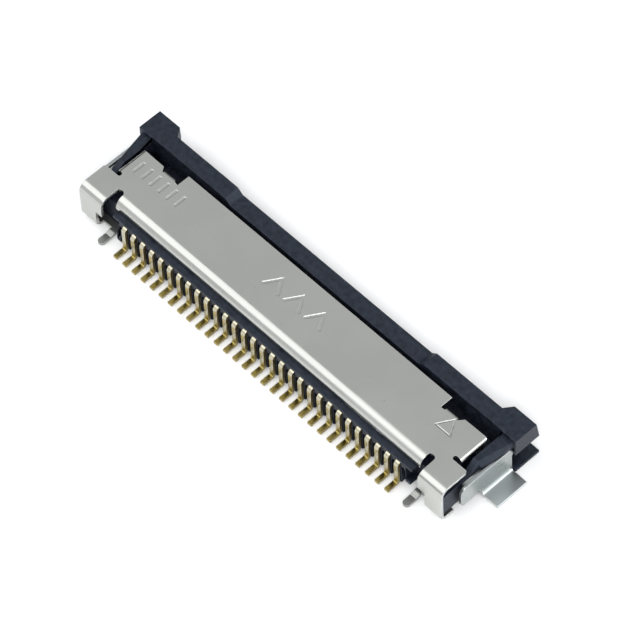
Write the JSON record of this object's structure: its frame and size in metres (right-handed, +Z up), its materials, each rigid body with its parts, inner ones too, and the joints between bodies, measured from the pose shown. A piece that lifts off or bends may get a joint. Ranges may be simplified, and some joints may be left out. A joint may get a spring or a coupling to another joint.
{
  "type": "flat cable connector",
  "caption": "Low surface-mount connector for a flat flexible cable: black housing, formed contacts in one row, sheet metal cover hung on end brackets that tips to let the cable go.",
  "frame": {"origin": "on the circuit board, at the middle of the row of contact feet", "axes": "+X along the row of contacts, from the first to the last as stored; +Y from the solder feet to the cable mouth; +Z up from the board"},
  "size_m": [0.0212, 0.0051, 0.002],
  "materials": {
    "housing_resin": "moulded, fine matt",
    "cover_steel": "satin rolled sheet, bright bends",
    "hold_down_tin": "dull tin plating",
    "contact_gold": "thin bright gold over nickel"
  },
  "bodies": {
    "base": {"housing": "housing_resin", "bracket_left": "cover_steel", "bracket_right": "cover_steel", "hold_down_left": "hold_down_tin", "hold_down_right": "hold_down_tin", "contact_01": "contact_gold", "contact_02": "contact_gold", "contact_03": "contact_gold", "contact_04": "contact_gold", "contact_05": "contact_gold", "contact_06": "contact_gold", "contact_07": "contact_gold", "contact_08": "contact_gold", "contact_09": "contact_gold", "contact_10": "contact_gold", "contact_11": "contact_gold", "contact_12": "contact_gold", "contact_13": "contact_gold", "contact_14": "contact_gold", "contact_15": "contact_gold", "contact_16": "contact_gold", "contact_17": "contact_gold", "contact_18": "contact_gold", "contact_19": "contact_gold", "contact_20": "contact_gold", "contact_21": "contact_gold", "contact_22": "contact_gold", "contact_23": "contact_gold", "contact_24": "contact_gold", "contact_25": "contact_gold", "contact_26": "contact_gold", "contact_27": "contact_gold", "contact_28": "contact_gold", "contact_29": "contact_gold", "contact_30": "contact_gold"},
    "cover": {"lock_cover": "cover_steel"}
  },
  "joints": [
    {"name": "cover_press", "type": "hinge", "parent": "base", "child": "cover", "pos_m": [0, 0.0014, 0.00188], "axis": [-1, 0, 0], "range_deg": [0, 8], "stiffness_Nm_per_rad": 0.01}
  ]
}
